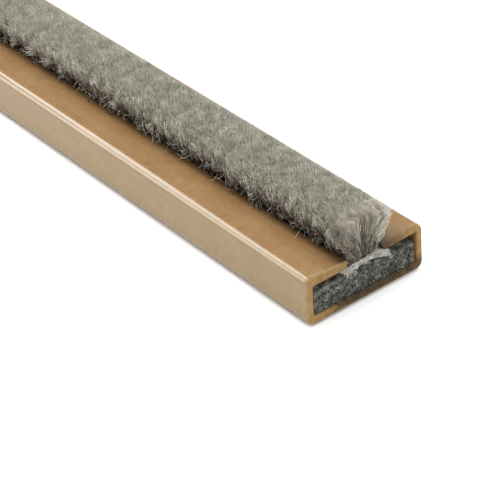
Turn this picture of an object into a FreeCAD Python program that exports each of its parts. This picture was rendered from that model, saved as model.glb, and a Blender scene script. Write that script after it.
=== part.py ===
"""Brush smoke seal for a door edge, cut to a short length.

A rigid C-shaped casing holds an intumescent core and a woven pile strip. The pile stands out
through the slot between the casing's two lips. A double-sided tape and its release liner are
on the casing's back.

Frame: millimetres, +X along the strip, +Z the way the pile points. The origin is the middle
of the back, on the face of the liner that the strip lies on.
"""
import FreeCAD, Part
import math
import os
import Sketcher

DIMENSIONS = {
    "strip_length": 80.0,
    # release liner and double-sided tape, from the back up
    "liner_width": 8.6,
    "liner_thickness": 0.07,
    "tape_width": 8.0,
    "tape_thickness": 0.13,
    # casing section
    "casing_width": 10.0,
    "casing_height": 3.8,
    "side_wall": 0.5,
    "floor_wall": 0.6,
    "lip_wall": 0.8,
    "slot_width": 3.4,
    "top_radius": 0.6,
    "base_radius": 0.5,
    "cavity_radius": 0.15,
    "lip_radius": 0.12,
    # intumescent core, loose in the cavity
    "core_width": 8.7,
    "core_height": 1.75,
    "core_radius": 0.2,
    "core_clearance": 0.03,
    # woven backing of the pile strip, held under the lips
    "backing_width": 4.2,
    "backing_thickness": 0.4,
    "backing_clearance": 0.05,
    # pile rows: a fan that starts just above the backing and leaves the slot
    "pile_rows": 4,
    "pile_lift": 0.36,
    "pile_root_width": 1.7,
    "pile_tip_width": 3.8,
    "pile_above_casing": 2.9,
    "row_gap": 0.04,
}

document = FreeCAD.newDocument("brush_smoke_seal")


def make_sheet():
    """Put the driving dimensions in a spreadsheet, one alias for each."""
    sheet = document.addObject("Spreadsheet::Sheet", "Dimensions")
    for row, (name, value) in enumerate(DIMENSIONS.items(), start=1):
        sheet.set(f"A{row}", name)
        sheet.set(f"B{row}", str(value))
        sheet.setAlias(f"B{row}", name)
    document.recompute()
    return sheet


def cell(name):
    """Name a dimension the way an expression refers to it."""
    return f"Dimensions.{name}"


# Levels above the liner's face, as expressions of the sheet's cells
TAPE_BOTTOM = cell("liner_thickness")
CASING_BOTTOM = f"({TAPE_BOTTOM} + {cell('tape_thickness')})"
CASING_TOP = f"({CASING_BOTTOM} + {cell('casing_height')})"
LIP_UNDERSIDE = f"({CASING_TOP} - {cell('lip_wall')})"
CAVITY_FLOOR = f"({CASING_BOTTOM} + {cell('floor_wall')})"
CORE_BOTTOM = f"({CAVITY_FLOOR} + {cell('core_clearance')})"
CORE_TOP = f"({CORE_BOTTOM} + {cell('core_height')})"
BACKING_TOP = f"({LIP_UNDERSIDE} - {cell('backing_clearance')})"
BACKING_BOTTOM = f"({BACKING_TOP} - {cell('backing_thickness')})"
PILE_ROOT = f"({BACKING_TOP} + {cell('pile_lift')})"
PILE_TIP = f"({CASING_TOP} + {cell('pile_above_casing')})"


def origin_plane(body, role):
    """Find one of the body's own origin planes."""
    for feature in body.Origin.OriginFeatures:
        if feature.Role == role:
            return feature
    raise RuntimeError(f"{body.Label} has no {role}")


def section_sketch(body, name, corners):
    """Draw a closed polygon across the strip; each corner is (across, up) as expressions."""
    sketch = body.newObject("Sketcher::SketchObject", name)
    sketch.AttachmentSupport = [(origin_plane(body, "YZ_Plane"), "")]
    sketch.MapMode = "FlatFace"
    count = len(corners)
    ring = []
    for number in range(count):
        turn = 2 * math.pi * (number + 0.4) / count
        ring.append(FreeCAD.Vector(math.cos(turn), math.sin(turn), 0))
    for number in range(count):
        sketch.addGeometry(Part.LineSegment(ring[number], ring[(number + 1) % count]))
    for number in range(count):
        sketch.addConstraint(
            Sketcher.Constraint("Coincident", number, 2, (number + 1) % count, 1))
    for number, (across, up) in enumerate(corners):
        for kind, start, expression in (
            ("DistanceX", ring[number].x, across),
            ("DistanceY", ring[number].y, up),
        ):
            index = sketch.addConstraint(
                Sketcher.Constraint(kind, -1, 1, number, 1, start))
            sketch.setExpression(f"Constraints[{index}]", expression)
    return sketch


def extrude_section(label, corners):
    """Make a body whose section runs the whole length of the strip."""
    body = document.addObject("PartDesign::Body", label)
    body.Label = label
    sketch = section_sketch(body, f"{label}_section", corners)
    pad = body.newObject("PartDesign::Pad", f"{label}_length")
    pad.Profile = sketch
    pad.SideType = "Symmetric"
    pad.setExpression("Length", cell("strip_length"))
    sketch.Visibility = False
    document.recompute()
    return body


def rectangle(width, bottom, top):
    """Corners of a rectangle centred across the strip."""
    half = f"{width} / 2"
    return [(f"-{half}", bottom), (half, bottom), (half, top), (f"-{half}", top)]


def lengthwise_edges(shape, wanted):
    """Name the edges along the strip whose section point passes the wanted test."""
    names = []
    for number, edge in enumerate(shape.Edges, start=1):
        start = edge.Vertexes[0].Point
        end = edge.Vertexes[-1].Point
        runs_along = abs(start.y - end.y) < 1e-6 and abs(start.z - end.z) < 1e-6
        if runs_along and wanted(abs(start.y), start.z):
            names.append(f"Edge{number}")
    return names


def round_edges(body, name, radius, wanted, expected):
    """Fillet the lengthwise edges that pass the wanted test."""
    base = body.Tip
    edges = lengthwise_edges(base.Shape, wanted)
    if len(edges) != expected:
        raise RuntimeError(f"{name}: found {len(edges)} edges, expected {expected}")
    fillet = body.newObject("PartDesign::Fillet", name)
    fillet.Base = (base, edges)
    fillet.setExpression("Radius", cell(radius))
    body.Tip = fillet
    document.recompute()


def make_casing(sheet):
    """Extruded C-section with two lips and a slot between them."""
    half = f"{cell('casing_width')} / 2"
    inner = f"({cell('casing_width')} / 2 - {cell('side_wall')})"
    slot = f"{cell('slot_width')} / 2"
    right_side = [
        (half, CASING_BOTTOM),
        (half, CASING_TOP),
        (slot, CASING_TOP),
        (slot, LIP_UNDERSIDE),
        (inner, LIP_UNDERSIDE),
        (inner, CAVITY_FLOOR),
    ]
    left_side = [(f"-{across}", up) for across, up in reversed(right_side)]
    body = extrude_section("casing", right_side + left_side)

    outer_face = sheet.casing_width / 2
    slot_face = sheet.slot_width / 2
    bottom = sheet.liner_thickness + sheet.tape_thickness
    middle = bottom + sheet.casing_height / 2
    near = 1e-6

    round_edges(body, "casing_top_corners", "top_radius",
                lambda across, up: abs(across - outer_face) < near and up > middle, 2)
    round_edges(body, "casing_base_corners", "base_radius",
                lambda across, up: abs(across - outer_face) < near and up < bottom + near, 2)
    inner_face = outer_face - sheet.side_wall
    round_edges(body, "casing_cavity_corners", "cavity_radius",
                lambda across, up: abs(across - inner_face) < near and up > bottom + near, 4)
    round_edges(body, "casing_lip_edges", "lip_radius",
                lambda across, up: abs(across - slot_face) < near, 4)
    return body


def make_core(sheet):
    """Intumescent bar that fills the cavity's width and leaves a gap under the lips."""
    body = extrude_section(
        "intumescent_core", rectangle(cell("core_width"), CORE_BOTTOM, CORE_TOP))
    edge_face = sheet.core_width / 2
    round_edges(body, "core_corners", "core_radius",
                lambda across, up: abs(across - edge_face) < 1e-6, 4)
    return body


def make_backing():
    """Woven tape that the pile is anchored in, a little wider than the slot."""
    return extrude_section(
        "pile_backing", rectangle(cell("backing_width"), BACKING_BOTTOM, BACKING_TOP))


def make_pile_row(number):
    """One row of pile: a slab that leans outwards more, the nearer it is to the edge."""
    def edge_of_row(width, step, side):
        share = f"({number} - 1 + {step}) / {cell('pile_rows')} - 0.5"
        return f"{cell(width)} * ({share}) {side} {cell('row_gap')} / 2"

    corners = [
        (edge_of_row("pile_root_width", 0, "+"), PILE_ROOT),
        (edge_of_row("pile_root_width", 1, "-"), PILE_ROOT),
        (edge_of_row("pile_tip_width", 1, "-"), PILE_TIP),
        (edge_of_row("pile_tip_width", 0, "+"), PILE_TIP),
    ]
    return extrude_section(f"pile_row_{number}", corners)


def make_tape():
    """Double-sided tape on the casing's back."""
    return extrude_section(
        "adhesive_tape", rectangle(cell("tape_width"), TAPE_BOTTOM, CASING_BOTTOM))


def make_liner():
    """Release liner, wider than the tape so that a fingernail can lift it."""
    return extrude_section("release_liner", rectangle(cell("liner_width"), "0", TAPE_BOTTOM))


def check_and_write(bodies):
    """Stop on any failed feature or invalid solid, then write one STEP file for each body."""
    document.recompute()
    for item in document.Objects:
        if "Invalid" in item.State or "Error" in item.State:
            raise RuntimeError(f"{item.Name} failed: {item.State}")
    os.makedirs("parts", exist_ok=True)
    for body in bodies:
        shape = body.Shape
        if shape.isNull() or not shape.isValid() or len(shape.Solids) != 1:
            raise RuntimeError(f"{body.Label} is not one valid solid")
        shape.exportStep(os.path.join("parts", f"{body.Label}.step"))
        box = shape.BoundBox
        print(f"{body.Label}: {shape.Volume:.2f} mm3, "
              f"Y {box.YMin:.3f}..{box.YMax:.3f}, Z {box.ZMin:.3f}..{box.ZMax:.3f}")


def main():
    sheet = make_sheet()
    bodies = [make_casing(sheet), make_core(sheet), make_backing()]
    for number in range(1, int(sheet.pile_rows) + 1):
        bodies.append(make_pile_row(number))
    bodies.append(make_tape())
    bodies.append(make_liner())
    check_and_write(bodies)


main()
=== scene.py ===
"""Looks for the brush smoke seal: plastic casing, intumescent core, woven backing and pile.

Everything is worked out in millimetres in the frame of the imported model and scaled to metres
when a mesh is made: +X along the strip, +Z the way the pile points, -Y the side in view.
"""
import math

import bpy
import numpy as np
from mathutils import Matrix, Vector, noise


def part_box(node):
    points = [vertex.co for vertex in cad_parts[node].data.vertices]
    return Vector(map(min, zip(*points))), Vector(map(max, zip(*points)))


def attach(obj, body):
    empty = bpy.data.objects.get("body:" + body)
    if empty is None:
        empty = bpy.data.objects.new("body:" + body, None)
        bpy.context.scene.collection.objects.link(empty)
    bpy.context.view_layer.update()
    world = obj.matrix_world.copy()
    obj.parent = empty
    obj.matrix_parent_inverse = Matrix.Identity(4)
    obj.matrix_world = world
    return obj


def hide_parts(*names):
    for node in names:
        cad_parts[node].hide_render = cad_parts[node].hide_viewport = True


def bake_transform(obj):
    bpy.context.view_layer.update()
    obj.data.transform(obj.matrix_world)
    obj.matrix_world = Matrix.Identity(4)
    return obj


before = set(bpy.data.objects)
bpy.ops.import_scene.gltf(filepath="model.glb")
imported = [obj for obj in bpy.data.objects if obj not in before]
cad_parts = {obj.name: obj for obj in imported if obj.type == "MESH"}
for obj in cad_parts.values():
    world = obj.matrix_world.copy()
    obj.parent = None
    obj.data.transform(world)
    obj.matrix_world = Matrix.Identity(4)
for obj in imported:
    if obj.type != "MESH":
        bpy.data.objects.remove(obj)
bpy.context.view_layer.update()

MM = 0.001
SEED = 20
random = np.random.default_rng(SEED)
noise.seed_set(SEED)


# ---------------------------------------------------------------- sizes from the frame

def node_box(node):
    """Lowest and highest corner of a CAD node, in millimetres."""
    low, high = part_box(node)
    return np.array(low) / MM, np.array(high) / MM


CASING_LOW, CASING_HIGH = node_box("casing")
CORE_LOW, CORE_HIGH = node_box("intumescent_core")
BACKING_LOW, BACKING_HIGH = node_box("pile_backing")
TAPE_LOW, TAPE_HIGH = node_box("adhesive_tape")
LINER_LOW, LINER_HIGH = node_box("release_liner")
END = CASING_HIGH[0]
FACE = CASING_HIGH[2]

# Casing section, the same as the part's own
SIDE_WALL = 0.5
FLOOR_WALL = 0.6
LIP_WALL = 0.8
SLOT_HALF = 1.7
BASE_RADIUS = 0.5
CAVITY_RADIUS = 0.15
LIP_RADIUS = 0.12

# Rounded rim that the saw left at both cuts
RIM_DEPTH = 0.16
RIM_INSET = 0.09

# Grains and threads at each cut
GRAINS = 1500
THREADS = 900

# Pile: its rows, and the fibres in each half of a row
ROWS = 4
SURFACE_FIBRES = 13500
CUT_FIBRES = 2600
FIBRE_RADIUS = 0.022
ROOT_HALF = 1.5
ROOT_LEVEL = BACKING_HIGH[2] - 0.05

# Strays on each side of the pile
CURLED_ENDS = 4200
CURL_CLUMPS = 260
LIGHT_TUFTS = 14
TUFT_FIBRES = 40
LOOSE_HAIRS = 45

# Smoothing stops at edges that are sharper than this
SHARP = math.radians(38)

# Surface that the tips make, from low on the far side over the top to low on the near side:
# across, height, and lean of the fibre from upright in degrees, positive away from the viewer
TIP_SURFACE = np.array([
    (1.88, 4.85, 40),
    (2.05, 5.15, 30),
    (2.12, 5.55, 24),
    (2.08, 6.05, 19),
    (1.98, 6.48, 16),
    (1.82, 6.74, 13),
    (1.50, 6.84, 9),
    (0.00, 6.86, 0),
    (-1.45, 6.82, -8),
    (-1.79, 6.68, -10),
    (-1.95, 6.40, -12),
    (-2.05, 6.05, -15),
    (-2.02, 5.70, -20),
    (-1.91, 5.40, -28),
    (-1.70, 5.15, -38),
])


# ---------------------------------------------------------------- meshes

def mesh_object(name, points, faces, materials, face_material=None):
    """Make a smooth object from points in millimetres and an array of faces, or a list of such
    arrays with different corner counts; face_material is each face's place in materials."""
    groups = faces if isinstance(faces, list) else [faces]
    corners = np.concatenate([g.ravel() for g in groups]).astype(np.int32)
    totals = np.concatenate([np.full(len(g), g.shape[1]) for g in groups])
    starts = np.concatenate([[0], np.cumsum(totals)[:-1]]).astype(np.int32)
    mesh = bpy.data.meshes.new(name)
    mesh.vertices.add(len(points))
    mesh.vertices.foreach_set("co", (np.asarray(points) * MM).astype(np.float32).ravel())
    mesh.loops.add(len(corners))
    mesh.loops.foreach_set("vertex_index", corners)
    mesh.polygons.add(len(totals))
    mesh.polygons.foreach_set("loop_start", starts)
    for material in materials:
        mesh.materials.append(material)
    if face_material is not None:
        mesh.polygons.foreach_set("material_index", np.asarray(face_material, np.int32))
    mesh.polygons.foreach_set("use_smooth", np.full(len(totals), True))
    mesh.update(calc_edges=True)
    mesh.validate()
    piece = bpy.data.objects.new(name, mesh)
    bpy.context.scene.collection.objects.link(piece)
    return piece


def ring_quads(count, rings):
    """Faces between rings of count points each that follow one another."""
    ring = np.arange(count)
    after = (ring + 1) % count
    start = np.arange(rings - 1)[:, None] * count
    return np.stack([start + ring, start + after, start + count + after,
                     start + count + ring], axis=2).reshape(-1, 4)


def end_caps(count, rings):
    """One many-sided face over the first ring and one over the last."""
    ring = np.arange(count)
    return np.array([ring[::-1], ring + (rings - 1) * count])


def fibre_arrays(paths, radii):
    """Three-sided closed tubes along paths of shape (fibres, rings, 3); radii (fibres, rings)."""
    count, rings, _ = paths.shape
    tangent = np.gradient(paths, axis=1)
    tangent /= np.linalg.norm(tangent, axis=2, keepdims=True) + 1e-12
    reference = random.normal(size=(count, 1, 3))
    side = np.cross(tangent, reference)
    side /= np.linalg.norm(side, axis=2, keepdims=True) + 1e-12
    other = np.cross(tangent, side)
    turn = np.arange(3) * 2 * math.pi / 3
    around = (np.cos(turn)[None, None, :, None] * side[:, :, None, :]
              + np.sin(turn)[None, None, :, None] * other[:, :, None, :])
    points = paths[:, :, None, :] + around * radii[:, :, None, None]
    base = np.arange(count)[:, None, None, None] * rings * 3
    ring = np.arange(rings - 1)[None, :, None, None] * 3
    corner = np.arange(3)[None, None, :, None]
    after = (corner + 1) % 3
    quads = np.concatenate([
        base + ring + corner,
        base + ring + after,
        base + ring + 3 + after,
        base + ring + 3 + corner,
    ], axis=3).reshape(-1, 4)
    first = np.arange(count)[:, None] * rings * 3
    root_caps = first + np.array([[2, 1, 0]])
    tip_caps = first + (rings - 1) * 3 + np.array([[0, 1, 2]])
    return points.reshape(-1, 3), [quads, np.concatenate([root_caps, tip_caps])]


def fibre_object(name, paths, radii, materials, shade):
    """One object for many fibres; shade gives the material of each fibre, or of each of its
    segments when it has shape (fibres, rings - 1)."""
    points, faces = fibre_arrays(paths, radii)
    rings = paths.shape[1]
    if shade.ndim == 1:
        shade = np.repeat(shade[:, None], rings - 1, axis=1)
    face_shade = np.concatenate([np.repeat(shade.ravel(), 3), shade[:, 0], shade[:, -1]])
    return mesh_object(name, points, faces, materials, face_shade)


def bezier(corners, share):
    """Cubic curves: corners (count, 4, 3), share (rings,) gives (count, rings, 3)."""
    t = share[None, :, None]
    a, b, c, d = (corners[:, None, number, :] for number in range(4))
    return a * (1 - t) ** 3 + 3 * b * t * (1 - t) ** 2 + 3 * c * t ** 2 * (1 - t) + d * t ** 3


def noise_places(points, scale, seed):
    """Where to read the noise for points; scale in waves per millimetre."""
    offset = Vector((seed * 7.3, seed * 3.1, seed * 5.7))
    return [Vector(point) * scale + offset for point in points]


def smooth_noise(points, scale, seed):
    """Values between about -1 and 1 that change smoothly from point to point."""
    return np.array([noise.noise(place) for place in noise_places(points, scale, seed)])


def wobble(points, scale, amount, seed):
    """Vectors that change smoothly from point to point, up to about amount long."""
    moved = [noise.noise_vector(place) for place in noise_places(points, scale, seed)]
    return np.array(moved) * amount


def smooth_step(share):
    """0 below 0, 1 above 1 and a smooth rise between them."""
    share = np.clip(share, 0, 1)
    return share * share * (3 - 2 * share)


# ---------------------------------------------------------------- materials

class Look:
    """A material, with short ways to add the nodes that it needs.

    Where a method asks for a number or a colour, another node's output can be given instead.
    Texture scales are in waves per metre."""

    def __init__(self, name, roughness=0.5, specular=0.5):
        self.material = bpy.data.materials.new(name)
        self.material.use_nodes = True
        self.tree = self.material.node_tree
        self.shader = self.tree.nodes["Principled BSDF"].inputs
        self.set("Roughness", roughness)
        self.set("Specular IOR Level", specular)

    def put(self, target, value):
        """Set an input to a plain value, or link a node's output to it."""
        if isinstance(value, bpy.types.NodeSocket):
            self.tree.links.new(value, target)
        else:
            target.default_value = value

    def set(self, name, value):
        """Set an input of the shader."""
        self.put(self.shader[name], value)

    def add(self, kind, inputs, **settings):
        """A new node; its inputs are given by name or by number."""
        node = self.tree.nodes.new(kind)
        for key, value in settings.items():
            setattr(node, key, value)
        for key, value in inputs.items():
            self.put(node.inputs[key], value)
        return node

    def place(self):
        """The place on the piece, in metres, in the frame of the model."""
        return self.add("ShaderNodeTexCoord", {}).outputs["Object"]

    def split(self, place):
        """X, Y and Z of a place."""
        node = self.add("ShaderNodeSeparateXYZ", {0: place})
        return [node.outputs[axis] for axis in "XYZ"]

    def stretched(self, place, scale):
        return self.add("ShaderNodeMapping", {"Vector": place, "Scale": scale}).outputs[0]

    def noise(self, place, scale, detail, roughness=0.5, distortion=0.0):
        node = self.add("ShaderNodeTexNoise", {
            "Vector": place, "Scale": scale, "Detail": detail, "Roughness": roughness,
            "Distortion": distortion})
        return node.outputs["Fac"]

    def bands(self, place, scale, direction):
        node = self.add("ShaderNodeTexWave", {"Vector": place, "Scale": scale},
                        wave_type="BANDS", bands_direction=direction)
        return node.outputs["Fac"]

    def fade(self, value, start, end, at_start=0.0, at_end=1.0, kind="SMOOTHSTEP"):
        """Goes from at_start to at_end while value goes from start to end."""
        node = self.add("ShaderNodeMapRange", {
            "Value": value, "From Min": start, "From Max": end, "To Min": at_start,
            "To Max": at_end}, interpolation_type=kind)
        return node.outputs[0]

    def math(self, operation, first, second=0.0):
        return self.add("ShaderNodeMath", {0: first, 1: second}, operation=operation).outputs[0]

    def product(self, first, second):
        return self.math("MULTIPLY", first, second)

    def rest_of(self, share):
        """What a share leaves of 1."""
        return self.math("SUBTRACT", 1.0, share)

    def mix(self, share, first, second):
        node = self.add("ShaderNodeMix", {0: share, 2: first, 3: second}, data_type="FLOAT")
        return node.outputs[0]

    def mix_colours(self, share, first, second):
        node = self.add("ShaderNodeMix", {0: share, 6: first, 7: second}, data_type="RGBA")
        return node.outputs[2]

    def ramp(self, value, *stops):
        """A colour that runs through stops of (position, colour)."""
        node = self.add("ShaderNodeValToRGB", {"Fac": value})
        elements = node.color_ramp.elements
        while len(elements) < len(stops):
            elements.new(0.5)
        for element, (position, colour) in zip(elements, stops):
            element.position = position
            element.color = (*colour, 1)
        return node.outputs["Color"]

    def scaled(self, colour, amount):
        node = self.add("ShaderNodeVectorMath", {0: colour, "Scale": amount}, operation="SCALE")
        return node.outputs[0]

    def bump(self, height, strength, depth):
        """Make the surface rough; depth in millimetres."""
        node = self.add("ShaderNodeBump", {
            "Strength": strength, "Distance": depth * MM, "Height": height})
        self.set("Normal", node.outputs[0])


def casing_material():
    """Brown rigid PVC: satin, with lengthwise extrusion lines, mottled and scuffed, and with
    painted shade darkening it along the slot, where the pile shades it. Next to the cut in view
    the far lip is dull and darker, with painted shade for the pile's tuft that hangs over it."""
    look = Look("casing_pvc")
    place = look.place()
    x, y, _ = look.split(place)
    across = look.math("ABSOLUTE", y)
    lines = look.noise(look.stretched(place, (25, 5200, 5200)), 1.0, 3.0, 0.6)
    blotch = look.noise(place, 420.0, 4.0, 0.6)
    mottle = look.mix(0.4, blotch, lines)
    brown = look.ramp(mottle, (0.32, (0.221, 0.125, 0.051)), (0.68, (0.267, 0.156, 0.067)))
    olive = look.ramp(mottle, (0.32, (0.2, 0.12, 0.032)), (0.68, (0.24, 0.149, 0.043)))
    at_side = look.fade(across, (CASING_HIGH[1] - 0.5) * MM, (CASING_HIGH[1] - 0.1) * MM)
    colour = look.mix_colours(at_side, brown, olive)

    # painted shade: the far lip darker next to the cut, under the pile's tuft
    near_cut = look.fade(x, (END - 3.5) * MM, END * MM)
    far_cut = look.product(near_cut, look.math("GREATER_THAN", y, 0.0))
    under_tuft = look.fade(across, (SLOT_HALF + 2.6) * MM, SLOT_HALF * MM, 0.0, 0.5)
    lit = look.rest_of(look.product(far_cut, under_tuft))
    # painted shade: the top face darker along the slot, where the pile shades it
    kept_level = look.fade(across, (SLOT_HALF + 0.1) * MM, (SLOT_HALF + 1.0) * MM, 0.35)
    scuffs = look.noise(place, 1300.0, 6.0, 0.7, 1.5)
    uneven = look.fade(scuffs, 0.35, 0.65, 0.9, 1.1, "LINEAR")
    level = look.product(look.product(kept_level, lit), uneven)
    look.set("Base Color", look.scaled(colour, level))
    look.set("Specular IOR Level", look.fade(far_cut, 0.0, 1.0, 0.5, 0.12, "LINEAR"))
    look.set("Roughness", look.fade(lines, 0.0, 1.0, 0.13, 0.21, "LINEAR"))
    look.set("IOR", 1.6)
    look.bump(lines, 0.1, 0.02)
    return look.material


def cut_material(name, dark, light, floor_share):
    """Sawn plastic: matt, mottled between two colours, and darker low down on the floor of the
    casing, more so away from its near side, where floor_share of the colour is left. The lips'
    cuts are a little darker, and painted shade makes the far one much darker towards the slot."""
    look = Look(name, 0.6, 0.15)
    place = look.place()
    _, y, z = look.split(place)
    colour = look.ramp(look.noise(place, 2400.0, 4.0, 0.6), (0.3, dark), (0.7, light))
    # darker low down on the floor of the casing, more so away from its near side
    low_down = look.fade(z, (CASING_LOW[2] + 0.6) * MM, (CASING_LOW[2] + 1.3) * MM, 1.0, 0.0,
                         "LINEAR")
    floor_darkening = look.fade(y, CASING_LOW[1] * 0.85 * MM, CASING_LOW[1] * 0.25 * MM, 0.0,
                      1 - floor_share, "LINEAR")
    kept_level = look.rest_of(look.product(low_down, floor_darkening))
    # painted shade: the far lip's cut much darker towards the slot, under the tuft; the near lip's
    # cut a little darker
    lip_height = look.fade(z, (FACE - 1.5) * MM, (FACE - 1.3) * MM, kind="LINEAR")
    near_lip = look.fade(y, (CASING_LOW[1] + 0.4) * MM, (CASING_LOW[1] + 1.0) * MM, 0.0, 0.1)
    far_lip = look.fade(y, (SLOT_HALF + 3.0) * MM, SLOT_HALF * MM, 0.0, 0.72)
    far_side = look.math("GREATER_THAN", y, 0.0)
    shade = look.product(lip_height, look.mix(far_side, near_lip, far_lip))
    level = look.product(kept_level, look.rest_of(shade))
    look.set("Base Color", look.scaled(colour, level))
    return look.material


def core_material():
    """Dark grey-green intumescent compound, mottled and speckled."""
    look = Look("core_compound", 0.8)
    grain = look.noise(look.place(), 1900.0, 6.0, 0.7)
    look.set("Base Color", look.ramp(
        grain, (0.34, (0.02, 0.021, 0.017)), (0.46, (0.062, 0.064, 0.053)),
        (0.56, (0.14, 0.14, 0.12)), (0.68, (0.3, 0.3, 0.262))))
    look.bump(grain, 0.7, 0.1)
    return look.material


def backing_material():
    """Pale grey woven tape."""
    look = Look("backing_weave", 0.7)
    place = look.place()
    weave = look.product(look.bands(place, 900.0, "X"), look.bands(place, 1300.0, "Y"))
    look.set("Base Color", look.ramp(
        weave, (0.0, (0.295, 0.285, 0.25)), (0.8, (0.525, 0.51, 0.455))))
    look.bump(weave, 0.6, 0.05)
    return look.material


def pile_mass_material():
    """Painted shade for the depth of the pile between the fibres: upright streaks, darker low
    down.
    """
    look = Look("pile_depth", 0.9, 0.2)
    place = look.place()
    _, _, z = look.split(place)
    streak = look.noise(look.stretched(place, (14000, 14000, 1400)), 1.0, 2.0)
    # painted shade: darker low down in the pile
    height = look.fade(z, (FACE + 0.2) * MM, (FACE + 1.4) * MM, 0.15, kind="LINEAR")
    look.set("Base Color", look.ramp(
        look.product(streak, height), (0.05, (0.04, 0.03, 0.021)),
        (0.3, (0.08, 0.072, 0.06)), (0.7, (0.2, 0.19, 0.164))))
    return look.material


def fibre_material(name, colour, roughness=0.6):
    """One shade of fibre."""
    look = Look(name, roughness, 0.25)
    look.set("Base Color", (*colour, 1))
    return look.material


def tape_material():
    """Milky acrylic adhesive."""
    look = Look("adhesive", 0.35)
    cloud = look.noise(look.place(), 900.0, 4.0)
    look.set("Base Color", look.ramp(
        cloud, (0.3, (0.256, 0.232, 0.192)), (0.7, (0.336, 0.312, 0.264))))
    return look.material


def liner_material():
    """Glassine release paper with faint fibres."""
    look = Look("release_paper", 0.3)
    pulp = look.noise(look.place(), 1500.0, 6.0, 0.7)
    look.set("Base Color", look.ramp(
        pulp, (0.3, (0.4, 0.368, 0.304)), (0.7, (0.496, 0.472, 0.4))))
    look.bump(pulp, 0.15, 0.02)
    return look.material


# ---------------------------------------------------------------- casing

# Places of the casing's materials in its list
PLAIN, BURR, CUT = range(3)


def rounded_outline(corners, steps=9):
    """Points of a closed polygon of (y, z, reach before, reach after, fullness).

    Each corner becomes a curve that starts and ends at its reaches along the two sides;
    fullness 2 is an ellipse, and less is closer to a straight chamfer."""
    points = []
    count = len(corners)
    for number, (y, z, reach_before, reach_after, fullness) in enumerate(corners):
        here = np.array([y, z])
        before = np.array(corners[number - 1][:2]) - here
        after = np.array(corners[(number + 1) % count][:2]) - here
        before *= reach_before / np.linalg.norm(before)
        after *= reach_after / np.linalg.norm(after)
        for step in range(steps + 1):
            turn = step / steps * math.pi / 2
            keep_before = 1 - math.sin(turn) ** (2 / fullness)
            keep_after = 1 - max(math.cos(turn), 0) ** (2 / fullness)
            points.append(here + before * keep_before + after * keep_after)
    return np.array(points)


def outline_normals(outline):
    """Unit normals that point out of an outline that runs anticlockwise."""
    along = np.roll(outline, -1, axis=0) - np.roll(outline, 1, axis=0)
    normals = np.stack([along[:, 1], -along[:, 0]], axis=1)
    return normals / (np.linalg.norm(normals, axis=1, keepdims=True) + 1e-12)


def length_stations(half, fine, coarse, fine_zone):
    """Places along the strip: close together near both ends, wider apart between."""
    near = np.linspace(half - fine_zone, half, round(fine_zone / fine) + 1)
    middle = np.linspace(-near[0], near[0], round(2 * near[0] / coarse) + 1)
    return np.concatenate([-near[::-1], middle[1:-1], near])


def bent_lips(points):
    """The lips as the saw left them: pressed down near the cut, the far one the most."""
    out = points.copy()
    x, y, z = points.T
    reach = np.where(y > 0, 3.0, 1.1)
    near_cut = np.exp(-(END - x) / reach) * (z > FACE - LIP_WALL - 0.1)
    upper = np.clip((z - (FACE - LIP_WALL)) / LIP_WALL, 0, 1)
    far = smooth_step((4.5 - y) / 1.6) * (y > 0)
    near = smooth_step((y + 4.5) / 1.2) * (y < 0)
    out[:, 2] -= near_cut * (far * (0.06 + 0.54 * upper) + near * 0.24 * upper)
    at_slot = np.abs(y) < SLOT_HALF + LIP_RADIUS
    out[:, 1] += near_cut * at_slot * upper * np.where(y < 0, 0.3, -0.15)
    return out


def casing_outline():
    """The casing's section as a closed outline; its top corners are worn rounder than drawn."""
    half = CASING_HIGH[1]
    inner = half - SIDE_WALL
    under = FACE - LIP_WALL
    floor = CASING_LOW[2] + FLOOR_WALL
    return rounded_outline([
        (half, CASING_LOW[2], BASE_RADIUS, BASE_RADIUS, 2),
        (half, FACE, 0.75, 0.8, 1.6),
        (SLOT_HALF, FACE, LIP_RADIUS, LIP_RADIUS, 2),
        (SLOT_HALF, under, LIP_RADIUS, LIP_RADIUS, 2),
        (inner, under, CAVITY_RADIUS, CAVITY_RADIUS, 2),
        (inner, floor, CAVITY_RADIUS, CAVITY_RADIUS, 2),
        (-inner, floor, CAVITY_RADIUS, CAVITY_RADIUS, 2),
        (-inner, under, CAVITY_RADIUS, CAVITY_RADIUS, 2),
        (-SLOT_HALF, under, LIP_RADIUS, LIP_RADIUS, 2),
        (-SLOT_HALF, FACE, LIP_RADIUS, LIP_RADIUS, 2),
        (-half, FACE, 0.66, 0.56, 1.75),
        (-half, CASING_LOW[2], BASE_RADIUS, BASE_RADIUS, 2),
    ])


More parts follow.
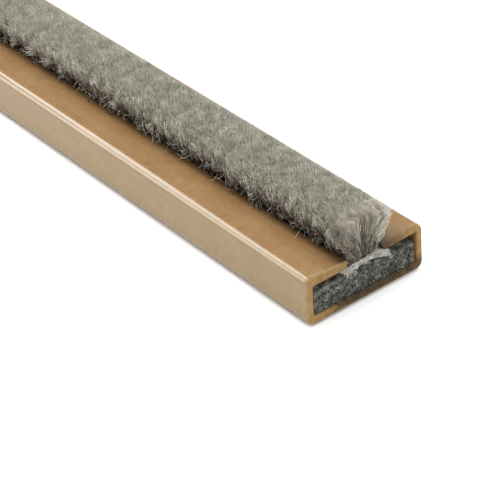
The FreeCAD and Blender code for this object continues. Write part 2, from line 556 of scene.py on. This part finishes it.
def make_casing():
    """The extruded casing, with its rims at the cuts and the lips bent next to the cut in view."""
    outline = casing_outline()
    normals = outline_normals(outline)
    y, z = outline.T
    on_top = (normals[:, 1] > 0.3) & (z > FACE - LIP_WALL)
    faces_out = (normals[:, 0] * np.sign(y) > 0.3) & (np.abs(y) > CASING_HIGH[1] - SIDE_WALL)
    outer_edge = on_top | (faces_out & (z > CASING_LOW[2] + 0.8))
    rim = [(-END + RIM_DEPTH * (1 - math.cos(turn)), RIM_INSET * (1 - math.sin(turn)))
           for turn in np.linspace(0, math.pi / 2, 4)]
    near_end = np.linspace(END - 3.5, END - 0.4, 9)
    plain = np.concatenate([-near_end[::-1], np.linspace(-END + 5, END - 5, 31), near_end])
    stations = rim + [(x, 0.0) for x in plain] + [(-x, inset) for x, inset in reversed(rim)]
    points = []
    for x, inset in stations:
        section = outline - normals * inset
        points.append(np.column_stack([np.full(len(section), x), section]))
    points = bent_lips(np.concatenate(points))
    count = len(outline)
    faces = [ring_quads(count, len(stations)), end_caps(count, len(stations))]
    rim_kinds = np.tile(np.where(outer_edge, BURR, CUT), len(rim) - 1)
    plain_kinds = np.full(count * (len(plain) + 1), PLAIN)
    kinds = np.concatenate([rim_kinds, plain_kinds, rim_kinds, [CUT, CUT]])
    materials = [
        casing_material(),
        cut_material("casing_burr", (0.222, 0.141, 0.06), (0.348, 0.234, 0.113), 0.6),
        cut_material("casing_cut", (0.205, 0.124, 0.044), (0.318, 0.192, 0.072), 0.32),
    ]
    piece = mesh_object("casing_shell", points, faces, materials, kinds)
    piece.data.set_sharp_from_angle(angle=SHARP)
    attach(piece, "casing")
    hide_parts("casing")


# ---------------------------------------------------------------- soft inserts

def block(name, low, high, counts, stations, shape, materials):
    """A closed box of grids; shape(points) moves its points. counts are (across, up)."""
    ys = np.linspace(low[1], high[1], counts[0] + 1)
    zs = np.linspace(low[2], high[2], counts[1] + 1)
    ring = [(y, zs[0]) for y in ys[:-1]] + [(ys[-1], z) for z in zs[:-1]]
    ring += [(y, zs[-1]) for y in ys[:0:-1]] + [(ys[0], z) for z in zs[:0:-1]]
    ring = np.array(ring)
    count = len(ring)
    points = [np.column_stack([np.full(count, x), ring]) for x in stations]
    quads = [ring_quads(count, len(stations))]
    total = len(stations) * count
    for station, x in ((0, stations[0]), (len(stations) - 1, stations[-1])):
        grid = np.zeros((len(ys), len(zs)), int)
        inside = []
        for i, y in enumerate(ys):
            for j, z in enumerate(zs):
                on_edge = i in (0, len(ys) - 1) or j in (0, len(zs) - 1)
                if on_edge:
                    gap = np.abs(ring - (y, z)).sum(axis=1)
                    grid[i, j] = station * count + int(gap.argmin())
                else:
                    grid[i, j] = total + len(inside)
                    inside.append((x, y, z))
        total += len(inside)
        points.append(np.array(inside).reshape(-1, 3))
        cap = np.stack([grid[:-1, :-1], grid[1:, :-1], grid[1:, 1:], grid[:-1, 1:]], axis=2)
        cap = cap.reshape(-1, 4)
        quads.append(cap if station else cap[:, ::-1])
    points = shape(np.concatenate(points))
    return mesh_object(name, points, np.concatenate(quads), materials)


def curved_paths(start, step, bend, length, rings):
    """Short arcs from start along step, bowed by bend, for loose threads and fibres."""
    along = np.linspace(0, 1, rings)[None, :, None]
    span = length[:, None, None]
    return (start[:, None, :] + step[:, None, :] * along * span
            + bend[:, None, :] * (along * (1 - along)) * span)


def pressed_by_lip(across):
    """How far the bent far lip presses the core down at the cut in view."""
    return np.interp(across, [1.0, 2.0, 4.2], [0.0, 0.35, 0.22])


def make_core():
    """The core with rough faces, and grains and smears on both cuts."""
    low, high = CORE_LOW, CORE_HIGH

    def shape(points):
        rough = wobble(points, 3.2, 0.12, 1) + wobble(points, 12.0, 0.035, 2)
        inside = (high[1] - np.abs(points[:, 1])) / 0.5
        rough[:, 1] *= np.clip(inside, 0, 1)
        rough[:, 2] *= np.where(points[:, 2] < low[2] + 0.05, 0, 1)
        out = points + rough
        near_cut = np.exp(-(high[0] - points[:, 0]) / 1.0)
        pressed = pressed_by_lip(points[:, 1])
        out[:, 2] -= near_cut * pressed * (points[:, 2] - low[2]) / (high[2] - low[2])
        out[:, 0] = np.clip(out[:, 0], low[0], high[0])
        out[:, 2] = np.maximum(out[:, 2], low[2])
        return out

    stations = length_stations(high[0] - 0.15, 0.15, 1.5, 1.8)
    piece = block("core_bar", low, high, (72, 15), stations, shape, [core_material()])
    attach(piece, "core")
    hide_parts("intumescent_core")

    shades = [
        fibre_material("core_grain_dark", (0.03, 0.031, 0.027), 0.7),
        fibre_material("core_grain_mid", (0.085, 0.087, 0.075), 0.7),
        fibre_material("core_grain_grey", (0.2, 0.2, 0.178), 0.6),
        fibre_material("core_grain_pale", (0.31, 0.305, 0.275), 0.7),
        fibre_material("core_grain_brown", (0.1, 0.065, 0.038), 0.7),
    ]
    make_grains("core_grains_front", 1, shades)
    make_grains("core_grains_rear", -1, shades)


def make_grains(name, side, shades):
    """Grains and short threads on the core's face at a cut, and some of its dust smeared over
    the sawn floor of the casing."""
    low, high = CORE_LOW, CORE_HIGH
    count = GRAINS
    smeared = random.random(count) < 0.2
    across = np.where(smeared, random.uniform(-2.6, 4.0, count),
                      random.uniform(low[1] + 0.1, high[1] - 0.1, count))
    top = high[2] - 0.1 - pressed_by_lip(across)
    start = np.column_stack([
        side * np.where(smeared, END + random.uniform(0, 0.03, count),
                        high[0] - random.uniform(0.03, 0.22, count)),
        across,
        np.where(smeared, random.uniform(0.45, 0.9, count),
                 random.uniform(low[2] + 0.05, top, count))])
    angle = random.uniform(0, 2 * math.pi, count)
    thin = random.random(count) < 0.06
    length = np.where(thin, random.uniform(0.2, 0.5, count),
                      random.uniform(0.03, 0.1, count)) + 0.15 * smeared
    step = np.column_stack([
        side * np.where(smeared, 0, random.normal(0.1, 0.2, count)),
        np.cos(angle), np.sin(angle) * np.where(smeared, 0.5, 1)])
    bend = random.normal(0, 0.6, (count, 3)) * [0, 1, 1]
    paths = curved_paths(start, step, bend, length, 4)
    paths[:, :, 1] = np.clip(paths[:, :, 1], low[1], high[1])
    paths[:, :, 2] = np.clip(paths[:, :, 2], 0.4, high[2] + 0.1)
    thickness = np.where(thin | smeared, random.uniform(0.012, 0.03, count),
                         random.uniform(0.03, 0.075, count))
    radii = thickness[:, None] * np.array([[0.6, 1.0, 1.0, 0.6]])
    shade = random.choice(4, count, p=[0.4, 0.4, 0.18, 0.02])
    shade = np.where(smeared, random.choice([0, 1, 4], count, p=[0.35, 0.25, 0.4]), shade)
    grains = fibre_object(name, paths, radii, shades, shade)
    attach(grains, "core")


def bowed_tape(points):
    """The woven tape at the cut: bowed up in the middle, pressed down by the far lip."""
    out = points.copy()
    near_cut = np.exp(-(END - points[:, 0]) / 0.8)
    rise = np.interp(points[:, 1], [-2.1, -1.6, -0.5, 0.8, 1.5, 2.1],
                     [-0.02, 0.06, 0.26, 0.18, 0.0, -0.26])
    out[:, 2] += near_cut * rise
    out[:, 1] += near_cut * 0.5 * np.clip(-1.3 - points[:, 1], 0, 1)
    return out


def make_backing():
    """The woven tape under the lips, with frayed threads at both cuts."""
    low, high = BACKING_LOW, BACKING_HIGH

    def shape(points):
        rough = wobble(points, 3.0, 0.05, 3) + wobble(points, 9.0, 0.03, 4)
        out = points + rough * [0.8, 0.6, 0.7]
        out[:, 2] = np.clip(out[:, 2], low[2], high[2] + 0.02)
        return bowed_tape(out)

    stations = length_stations(high[0] - 0.05, 0.2, 1.0, 2.0)
    piece = block("backing_tape", low, high, (42, 5), stations, shape, [backing_material()])
    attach(piece, "pile_strip")
    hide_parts("pile_backing")

    shades = [
        fibre_material("thread_pale", (0.58, 0.562, 0.505), 0.5),
        fibre_material("thread_grey", (0.35, 0.342, 0.315), 0.5),
    ]
    make_threads("frayed_threads_front", 1, shades)
    make_threads("frayed_threads_rear", -1, shades)


def make_threads(name, side, shades):
    """The tape's frayed cross threads at a cut."""
    low, high = BACKING_LOW, BACKING_HIGH
    count = THREADS
    start = np.column_stack([
        side * (high[0] - random.uniform(0.0, 0.4, count)),
        random.uniform(low[1] + 0.05, high[1] - 0.05, count),
        random.uniform(low[2] + 0.02, high[2] - 0.02, count)])
    length = random.uniform(0.2, 0.8, count)
    step = np.column_stack([
        side * np.abs(random.normal(0.15, 0.2, count)),
        random.choice([-1, 1], count) * random.uniform(0.6, 1.0, count),
        random.normal(0, 0.18, count)])
    bend = random.normal(0, 0.5, (count, 3)) * [0.3, 1, 0.5]
    paths = curved_paths(start, step, bend, length, 5)
    paths[:, :, 0] = side * np.minimum(paths[:, :, 0] * side, high[0] + 0.1)
    paths[:, :, 1] = np.clip(paths[:, :, 1], low[1], high[1])
    paths[:, :, 2] = np.clip(paths[:, :, 2], low[2] - 0.08, high[2] + 0.06)
    radii = np.repeat(random.uniform(0.015, 0.028, count)[:, None], 5, axis=1)
    shade = random.choice(2, count, p=[0.7, 0.3])
    paths = bowed_tape(paths.reshape(-1, 3)).reshape(paths.shape)
    threads = fibre_object(name, paths, radii, shades, shade)
    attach(threads, "pile_strip")


# ---------------------------------------------------------------- pile

# Colours of the fibres: greys from dark to light, and then the four that are named below
PILE_SHADES = [
    (0.18, 0.174, 0.139),
    (0.238, 0.231, 0.186),
    (0.295, 0.287, 0.233),
    (0.353, 0.342, 0.281),
    (0.443, 0.427, 0.359),
    (0.558, 0.533, 0.455),
    (0.246, 0.184, 0.135),
    (0.369, 0.303, 0.246),
    # painted shadow: near-black brown for fibres in shade
    (0.055, 0.038, 0.022),
    # white: real lint, and strands with painted light at the cuts
    (0.72, 0.685, 0.61),
]
LIGHTEST_GREY = 5
BROWN = 6
TAN = 7
# DARK is the painted shadow colour; WHITE is for lint and for strands with painted light
DARK = 8
WHITE = 9


def pile_materials():
    """One material for each of the pile's colours."""
    return [fibre_material(f"pile_fibre_{number}", colour)
            for number, colour in enumerate(PILE_SHADES)]


def along_tip_surface(share):
    """Place across, height, lean in radians and outward normal of the tip surface, at shares
    from 0 on the far side to 1 on the near side."""
    section = TIP_SURFACE[:, :2]
    where = np.concatenate([[0], np.cumsum(np.linalg.norm(np.diff(section, axis=0), axis=1))])
    where /= where[-1]
    run = np.gradient(section, where, axis=0)
    run /= np.linalg.norm(run, axis=1, keepdims=True)
    across, height, lean, run_y, run_z = (
        np.interp(share, where, column)
        for column in (*section.T, TIP_SURFACE[:, 2], *run.T))
    return across, height, np.radians(lean), np.stack([run_z, -run_y], axis=-1)


def worn(along):
    """How much lower than its full height the pile is, more towards the far end."""
    return np.interp(along, [-END, 0, 24, END], [0.27, 0.2, 0.12, 0.08])


def ride_pile(piece):
    """Bake a piece of the pile's place into its mesh."""
    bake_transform(piece)


def drawn_in(paths, to_end):
    """Y of the fibres with the far ones drawn in at the cuts, where few stand out sideways."""
    _, y, z = np.moveaxis(paths, 2, 0)
    kept = np.interp(z, [3.66, 4.05, 4.48, 4.87, 5.21, 5.57, 5.85],
                     [0.45, 0.52, 0.58, 0.62, 0.67, 0.76, 1.0])
    loose = random.random((len(paths), 1)) < 0.15
    kept = np.where(loose, kept * 1.12, kept)
    return np.where(y > 0, y * (1 - (1 - kept) * to_end[:, None]), y)


def pile_fibres(along, share, whole):
    """Paths of fibres from the backing to the tip surface. For each fibre it also gives how
    bright its clump is, how low down its tip is and how much it belongs to a wall.

    along is the place on the strip, share the place on the tip surface, and whole asks for the
    full length instead of the visible upper part."""
    count = len(along)
    across, height, lean, normal = along_tip_surface(share)
    wall = np.clip((np.abs(share - 0.5) - 0.24) / 0.2, 0, 1)
    height = height - worn(along)
    spot = np.column_stack([along, across, height])
    coarse = smooth_noise(spot, 1.1, 5)
    fine = smooth_noise(spot, 2.6, 6)
    outward = np.column_stack([np.zeros(count), normal])

    # Tips: raised and shifted in clumps, and splayed outwards at the cuts
    raised = (coarse * (0.03 + 0.28 * wall ** 2) + fine * (0.035 + 0.12 * wall)
              + random.normal(0, 1, count) * (0.025 + 0.07 * wall))
    to_end = np.clip((np.abs(along) - (END - 1.2)) / 1.2, 0, 1)
    raised += to_end * smooth_noise(spot, 2.0, 12) * 0.3
    tip = spot + outward * raised[:, None]
    drift = wobble(spot, 1.7, 0.12, 7)
    tip += drift * [1, 1, 0.1]
    tip[:, 0] += random.normal(0, 0.05, count)
    lean = lean + random.normal(0, 1, count) * np.radians(7 + 13 * wall)
    forward = random.normal(0, 1, count) * np.radians(7 + 12 * wall)
    splay = np.sign(along) * to_end ** 2
    loose = np.abs(splay) * random.random(count) * np.clip(height - 4.4, 0, 2.4) / 2.4
    tip[:, 0] += np.sign(splay) * loose * 0.3
    tip[:, 1] += loose * np.clip(across, 0, 2) * 0.12
    tip[:, 2] -= (0.14 * np.abs(splay) + 0.36 * loose) * np.clip(across + 0.4, 0, 2)
    waist = to_end * np.clip((6.0 - height) / 1.1, 0, 1)
    tip[:, 1] += waist * np.where(across > 0, 0, 0.15)
    forward += splay * math.radians(9)

    # Curves: from the root up through the slot, and then the way that the tip leans
    direction = np.column_stack([
        np.sin(forward), np.sin(lean) * np.cos(forward), np.cos(lean) * np.cos(forward)])
    root = np.column_stack([
        np.clip(along, -END + 0.06, END - 0.06),
        ROOT_HALF * (1 - 2 * share) * (1 - 0.17 * to_end) + random.normal(0, 0.05, count),
        np.full(count, ROOT_LEVEL)])
    rise = 0.9 + 0.5 * (1 - wall)
    neck = root + np.column_stack([np.zeros(count), root[:, 1] * 0.06, rise])
    before = tip - direction * (1.1 - 0.5 * wall)[:, None]
    corners = np.stack([root, neck, before, tip], axis=1)
    share_along = np.linspace(0, 1, 8) if whole else np.array([0.68, 0.86, 1.0])
    paths = bezier(corners, share_along)

    # Crimps, and everything inside the slot kept clear of the lips
    crimp_size = 0.05 if whole else 0.03
    crimp = random.normal(0, crimp_size, (count, len(share_along), 3)) * [1, 1, 0.3]
    crimp[:, 0] = 0
    paths += crimp
    paths[:, :, 1] = drawn_in(paths, to_end)
    in_slot = paths[:, :, 2] < FACE + 0.03
    inside = np.clip(paths[:, :, 1], -SLOT_HALF + 0.12, SLOT_HALF - 0.12)
    paths[:, :, 1] = np.where(in_slot, inside, paths[:, :, 1])
    low_down = np.clip((5.85 - tip[:, 2]) / 0.6, 0, 1)
    return paths, coarse + fine, low_down, wall


def pile_shades(count, brightness, low, wall, towards_light, darker_near_cut=0, contrast=1):
    """Pick a material for each fibre: mottled greys on top, and painted light to make the walls
    lighter. Brown is partly the fibres' own colour and partly painted light bounced off the
    casing onto the walls; painted shade makes fibres brown and dark low down, where the walls
    meet the casing. Fibres are also darker by darker_near_cut."""
    # painted light makes the walls lighter, painted shade darkens fibres low down
    level = 2.3 + 1.7 * wall - 2.9 * low + contrast * brightness * (1.5 + wall) + towards_light
    spread = contrast * random.normal(0, 0.85, count)
    shade = np.clip(np.round(level + spread), 0, LIGHTEST_GREY).astype(int)
    # painted shade: dark fibres low down, and more of them near the cuts
    shade = np.where(random.random(count) < 0.6 * low ** 2 + 0.25 * darker_near_cut, DARK, shade)
    # brown: partly the fibres' own colour, partly painted bounce light on the walls and painted
    # shade low down
    brown = random.random(count) < 0.02 + 0.26 * wall + 0.1 * low + 0.2 * darker_near_cut
    return np.where(brown, random.choice([BROWN, TAN], count, p=[0.6, 0.4]), shade)


def surface_fibres(row, half, side, materials):
    """The upper ends of the fibres, which are all that shows away from the cuts."""
    count = SURFACE_FIBRES
    share = 1 - random.uniform(row / ROWS, (row + 1) / ROWS, count)
    along = side * random.uniform(0, END - 0.2, count)
    paths, brightness, low, wall = pile_fibres(along, share, False)
    radii = random.uniform(0.75, 1.25, count)[:, None] * FIBRE_RADIUS
    radii = radii * np.array([[1.0, 1.0, 0.6]])
    # fibres on the walls darker near the cuts
    darker_near_cut = np.exp(-(END - np.abs(along)) / 6.0) * wall
    contrast = np.interp(along, [-END, 15], [0.45, 1])
    shade = pile_shades(count, brightness, low, wall, -1.7 * darker_near_cut, darker_near_cut, contrast)
    lint = random.random(count) < 0.0006
    shade = np.where(lint, WHITE, shade)
    radii = radii * np.where(lint, 1.8, 1)[:, None]
    piece = fibre_object(f"pile_row_{row + 1}_{half}", paths, radii, materials, shade)
    ride_pile(piece)
    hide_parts(f"pile_row_{row + 1}")


def cut_fibres(row, half, side, materials):
    """Whole fibres at a cut, in clumps, with painted shade that darkens them towards their roots
    and painted light that makes them lighter on the far side, which faces the light."""
    count = CUT_FIBRES
    share = 1 - random.uniform(row / ROWS, (row + 1) / ROWS, count)
    depth = random.uniform(0, 1, count) ** 1.5 * 1.1
    paths, brightness, low, _ = pile_fibres(side * (END - 0.03 - depth), share, True)
    clumps = np.column_stack([depth * 1.5, share * 21, np.zeros(count)])
    brightness = 0.5 * brightness + 2.5 * smooth_noise(clumps, 1.0, 9)
    radii = random.uniform(0.7, 1.15, count)[:, None] * FIBRE_RADIUS
    radii = radii * np.array([[1.0] * 7 + [0.6]])
    # painted light on the far side, painted shade on the near side
    towards_light = np.interp(share, [0, 0.25, 0.36, 0.5, 0.6, 1],
                              [3.2, 2.6, 0.2, -1.2, -1.9, -2.2])
    shade = pile_shades(count, brightness, 0.8 * low * share, share, towards_light)
    tan = random.random(count) < np.where(share < 0.1, 0.5, 0.14)
    shade = np.where(tan, TAN, shade)
    # painted light: pale strands on the far side
    light = random.random(count) < 0.45 * np.clip(1.2 - share * 3.6, 0, 1)
    light &= share > 0.08
    # painted shade: darker towards the roots, and dark lower segments
    darker = np.array([5, 5, 3, 2, 1, 0, 0])
    shade = np.where(shade[:, None] > LIGHTEST_GREY, shade[:, None],
                     np.maximum(shade[:, None] - darker, 0))
    shade = np.where(light[:, None] & (darker == 0), WHITE, shade)
    shaded = random.random((count, 1)) < [0.7, 0.65, 0.5, 0.28, 0.08, 0, 0]
    shade = np.where(shaded, DARK, shade)
    piece = fibre_object(f"cut_row_{row + 1}_{half}", paths, radii, materials, shade)
    ride_pile(piece)


def make_pile():
    """The four rows, each as a front half next to the cut in view and a rear half."""
    materials = pile_materials()
    for row in range(ROWS):
        for half, side in (("rear", -1), ("front", 1)):
            surface_fibres(row, half, side, materials)
            cut_fibres(row, half, side, materials)


def make_pile_mass():
    """Solid depth just under the tips, painted dark as shade, so that nothing shows between the
    fibres.
    """
    across, height, _, normal = along_tip_surface(np.linspace(0.01, 0.99, 24))
    depth = np.column_stack([across, height]) - normal * 0.32
    low_y = SLOT_HALF - 0.4
    outline = np.array([(low_y, ROOT_LEVEL), (low_y, FACE + 0.2), *depth,
                        (-low_y, FACE + 0.2), (-low_y, ROOT_LEVEL)])
    count = len(outline)
    stations = np.linspace(-END + 0.7, END - 0.7, 80)
    points = np.concatenate([
        np.column_stack([np.full(count, x), outline]) for x in stations])
    points[:, 2] -= worn(points[:, 0]) * (points[:, 2] > FACE + 0.3)
    points += wobble(points, 1.2, 0.05, 8)
    faces = [ring_quads(count, len(stations)), end_caps(count, len(stations))]
    piece = mesh_object("pile_depth", points, faces, [pile_mass_material()])
    ride_pile(piece)


def make_curled_ends(side, name, materials):
    """Curled ends painted dark as shade, which fill the corner between the pile's wall and the
    casing, and lighter ones in clumps further out, fewer towards the far end."""
    count = CURLED_ENDS
    clumps = random.uniform(-END + 0.3, END - 0.3, CURL_CLUMPS)
    outer = random.random(count) < 0.3
    along = clumps[random.integers(0, CURL_CLUMPS, count)] + random.normal(0, 0.12, count)
    along = np.where(outer, along, random.uniform(-END + 0.2, END - 0.2, count))
    along = np.clip(along, -END + 0.1, END - 0.1)
    start = np.column_stack([
        along,
        side * np.where(outer, random.uniform(1.52, 1.88, count),
                        random.uniform(1.36, 1.68, count)),
        np.where(outer, random.uniform(4.5, 5.2, count), random.uniform(4.1, 5.1, count))])
    angle = random.normal(-30, 40, count)
    step = np.column_stack([
        random.normal(0, 0.5, count),
        side * np.abs(np.cos(np.radians(angle))),
        np.sin(np.radians(angle))])
    length = random.gamma(4.0, 0.07, count) + 0.12
    bend = random.normal(0, 1.5, (count, 3))
    bend[:, 2] -= 0.3
    paths = curved_paths(start, step, bend, length, 6)
    paths[:, :, 2] = np.maximum(paths[:, :, 2], FACE + 0.03)
    radii = stray_radii(0.8, 1.1, count, 6)
    light = random.choice(9, count, p=[0.1, 0.1, 0.1, 0.1, 0.1, 0.08, 0.18, 0.16, 0.08])
    far_dark = random.random(count) < np.interp(along, [-END, 10], [0.6, 0])
    # painted shade: all but the outer curled ends are dark
    shade = np.where(outer & ~far_dark, light, DARK)
    piece = fibre_object(f"curled_ends_{name}", paths, radii, materials, shade)
    ride_pile(piece)


def make_light_tufts(side, name, materials):
    """A few light tufts that stand out of the pile's wall."""
    tufts = random.uniform(-END + 1, END - 3, LIGHT_TUFTS)
    count = TUFT_FIBRES * LIGHT_TUFTS
    along = np.repeat(tufts, TUFT_FIBRES) + random.normal(0, 0.1, count)
    start = np.column_stack([
        along, np.full(count, side * 1.85), random.uniform(5.1, 5.5, count)])
    twist = np.repeat(random.normal(0, 0.8, LIGHT_TUFTS), TUFT_FIBRES)
    step = np.column_stack([
        twist + random.normal(0, 0.25, count), side * random.uniform(0.5, 1.0, count),
        random.uniform(-0.9, 0.1, count)])
    bend = random.normal(0, 0.5, (count, 3)) + [0, 0, -0.6]
    paths = curved_paths(start, step, bend, random.uniform(0.35, 0.8, count), 6)
    radii = stray_radii(0.7, 1.0, count, 6)
    shade = random.choice([3, 4, LIGHTEST_GREY, TAN], count, p=[0.2, 0.3, 0.25, 0.25])
    piece = fibre_object(f"light_tufts_{name}", paths, radii, materials, shade)
    ride_pile(piece)


def make_loose_hairs(side, name, materials):
    """Long thin hairs that lie over the casing."""
    count = LOOSE_HAIRS
    along = random.uniform(-END + 0.5, END - 3, count)
    start = np.column_stack([
        along, np.full(count, side * 1.7), random.uniform(4.2, 4.8, count)])
    step = np.column_stack([
        random.normal(0, 0.7, count), side * random.uniform(0.4, 1.0, count),
        random.uniform(-0.5, 0.1, count)])
    length = random.gamma(3.0, 0.25, count) + 0.4
    bend = random.normal(0, 0.8, (count, 3)) + [0, 0, 0.6]
    paths = curved_paths(start, step, bend, length, 8)
    paths[:, :, 1] = np.clip(paths[:, :, 1], -4.7, 4.7)
    paths[:, :, 2] = np.maximum(paths[:, :, 2], FACE + 0.02)
    radii = stray_radii(0.4, 0.65, count, 8)
    shade = random.choice([1, 3, LIGHTEST_GREY, BROWN, TAN], count,
                          p=[0.1, 0.15, 0.2, 0.25, 0.3])
    piece = fibre_object(f"loose_hairs_{name}", paths, radii, materials, shade)
    ride_pile(piece)


def stray_radii(thin, thick, count, rings):
    """A radius for each ring of each fibre, between thin and thick times the pile's own."""
    return np.repeat(random.uniform(thin, thick, count)[:, None] * FIBRE_RADIUS, rings, axis=1)


def make_strays():
    """What stands out of the pile's walls on both sides."""
    materials = pile_materials()
    for side, name in ((-1, "front"), (1, "rear")):
        make_curled_ends(side, name, materials)
        make_light_tufts(side, name, materials)
        make_loose_hairs(side, name, materials)


# ---------------------------------------------------------------- tape and liner

def make_tape():
    """The adhesive tape, with slightly wavy long edges."""
    def shape(points):
        out = points.copy()
        out[:, 1] += np.sign(points[:, 1]) * 0.03 * np.sin(points[:, 0] * 1.7)
        return out

    stations = np.linspace(TAPE_LOW[0] + 0.3, TAPE_HIGH[0] - 0.3, 120)
    piece = block("tape_layer", TAPE_LOW, TAPE_HIGH, (8, 1), stations, shape, [tape_material()])
    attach(piece, "casing")
    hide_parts("adhesive_tape")


def make_liner():
    """The release liner, as a flat strip."""
    stations = np.linspace(LINER_LOW[0] + 0.2, LINER_HIGH[0] - 0.2, 160)
    piece = block("liner_strip", LINER_LOW, LINER_HIGH, (16, 1), stations,
                  lambda points: points, [liner_material()])
    piece.data.set_sharp_from_angle(angle=SHARP)
    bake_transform(piece)
    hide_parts("release_liner")


# ---------------------------------------------------------------- studio

def area_light(name, towards, distance, size, power):
    """A soft box that faces the middle of the strip's near half; distance and size in metres,
    power in watts."""
    light = bpy.data.lights.new(name, "AREA")
    light.shape = "RECTANGLE"
    light.size, light.size_y = size
    light.energy = power
    thing = bpy.data.objects.new(name, light)
    bpy.context.scene.collection.objects.link(thing)
    direction = Vector(towards).normalized()
    thing.location = Vector((END / 2, 0, 0)) * MM + direction * distance
    thing.rotation_euler = direction.to_track_quat("Z", "Y").to_euler()


def make_studio():
    """White paper under the strip, a weak white sky and five soft boxes."""
    scene = bpy.context.scene
    scene.view_settings.view_transform = "Standard"
    world = bpy.data.worlds.new("studio")
    world.use_nodes = True
    sky = world.node_tree.nodes["Background"].inputs
    sky["Color"].default_value = (1, 1, 1, 1)
    sky["Strength"].default_value = 0.25
    scene.world = world

    paper = Look("floor_paper", 0.9)
    paper.set("Base Color", (0.93, 0.93, 0.93, 1))
    reach = 3.0
    corners = np.array([(-reach, -reach, 0), (reach, -reach, 0), (reach, reach, 0),
                        (-reach, reach, 0)]) / MM
    floor = mesh_object("floor", corners, np.array([[0, 1, 2, 3]]), [paper.material])
    floor.location.z = -0.01 * MM

    area_light("key", (-0.71, -0.38, 0.605), 0.6, (0.3, 0.17), 1.28)
    area_light("window", (-0.71, -0.665, 0.229), 0.6, (0.22, 0.27), 1.15)
    area_light("overhead", (0.0, 0.1, 1.0), 0.7, (0.9, 0.9), 7.8)
    area_light("right", (0.8, -0.1, 0.5), 0.7, (0.4, 0.4), 2.1)
    area_light("back", (0.1, 0.9, 0.45), 0.8, (0.6, 0.4), 1.0)


def make_camera():
    """The camera, set by its turn about Z, height angle and roll in degrees, and by its place
    from the middle of the lower edge of the cut in view in millimetres."""
    turn, height, roll = (math.radians(x) for x in (54.03, 34.96, -4.357))
    back = Vector((math.sin(turn) * math.cos(height), -math.cos(turn) * math.cos(height),
                   math.sin(height)))
    level = Vector((math.cos(turn), math.sin(turn), 0))
    upright = back.cross(level)
    right = level * math.cos(roll) + upright * math.sin(roll)
    up = upright * math.cos(roll) - level * math.sin(roll)
    camera = bpy.data.cameras.new("camera")
    camera.sensor_width = 36
    camera.lens = 139.07
    camera.clip_start = 0.005
    camera.clip_end = 20
    thing = bpy.data.objects.new("camera", camera)
    bpy.context.scene.collection.objects.link(thing)
    place = Vector((END + 78.998, -66.621, CASING_LOW[2] + 76.498)) * MM
    turned = Matrix((right, up, back)).transposed().to_4x4()
    thing.matrix_world = Matrix.Translation(place) @ turned
    bpy.context.scene.camera = thing


make_camera()
make_studio()
make_casing()
make_core()
make_backing()
make_pile_mass()
make_pile()
make_strays()
make_tape()
make_liner()
